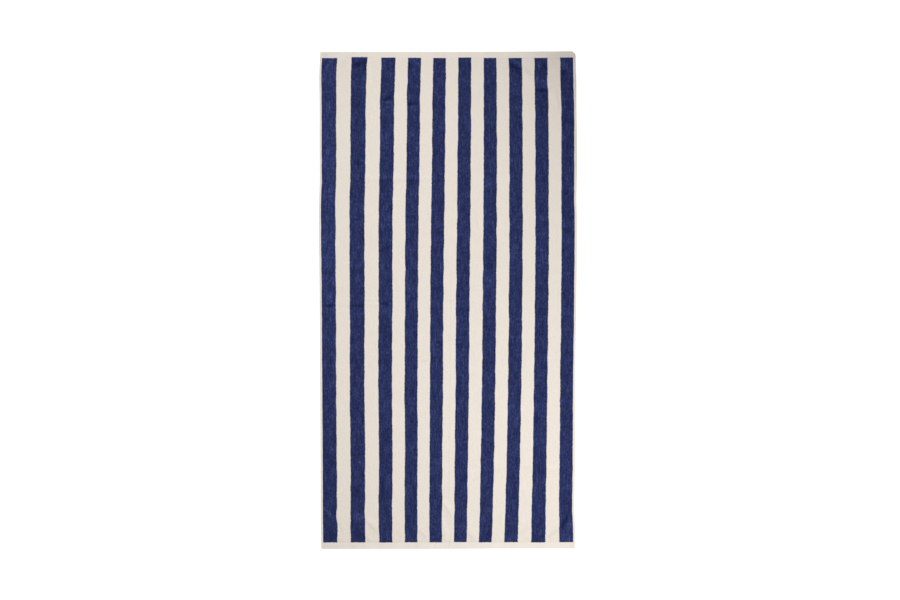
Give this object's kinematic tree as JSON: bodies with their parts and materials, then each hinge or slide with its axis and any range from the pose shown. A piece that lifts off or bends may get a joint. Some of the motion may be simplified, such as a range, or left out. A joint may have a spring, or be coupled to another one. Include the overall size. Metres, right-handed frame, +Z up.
{
  "type": "beach towel",
  "caption": "Rectangular terry beach towel lying flat, striped lengthwise, with a flat hem at each end and narrow selvedges.",
  "frame": {"origin": "on the surface the towel lies on, under the middle of its outline", "axes": "+Z up out of the pile face, +Y along the towel from its foot hem to its head hem, +X across it to the right"},
  "size_m": [0.9065, 1.7495, 0.0064],
  "materials": {
    "terry_cloth": "sheared cotton pile in lengthwise navy and cream stripes, matt"
  },
  "bodies": {
    "root": {"towel": "terry_cloth"}
  },
  "joints": []
}
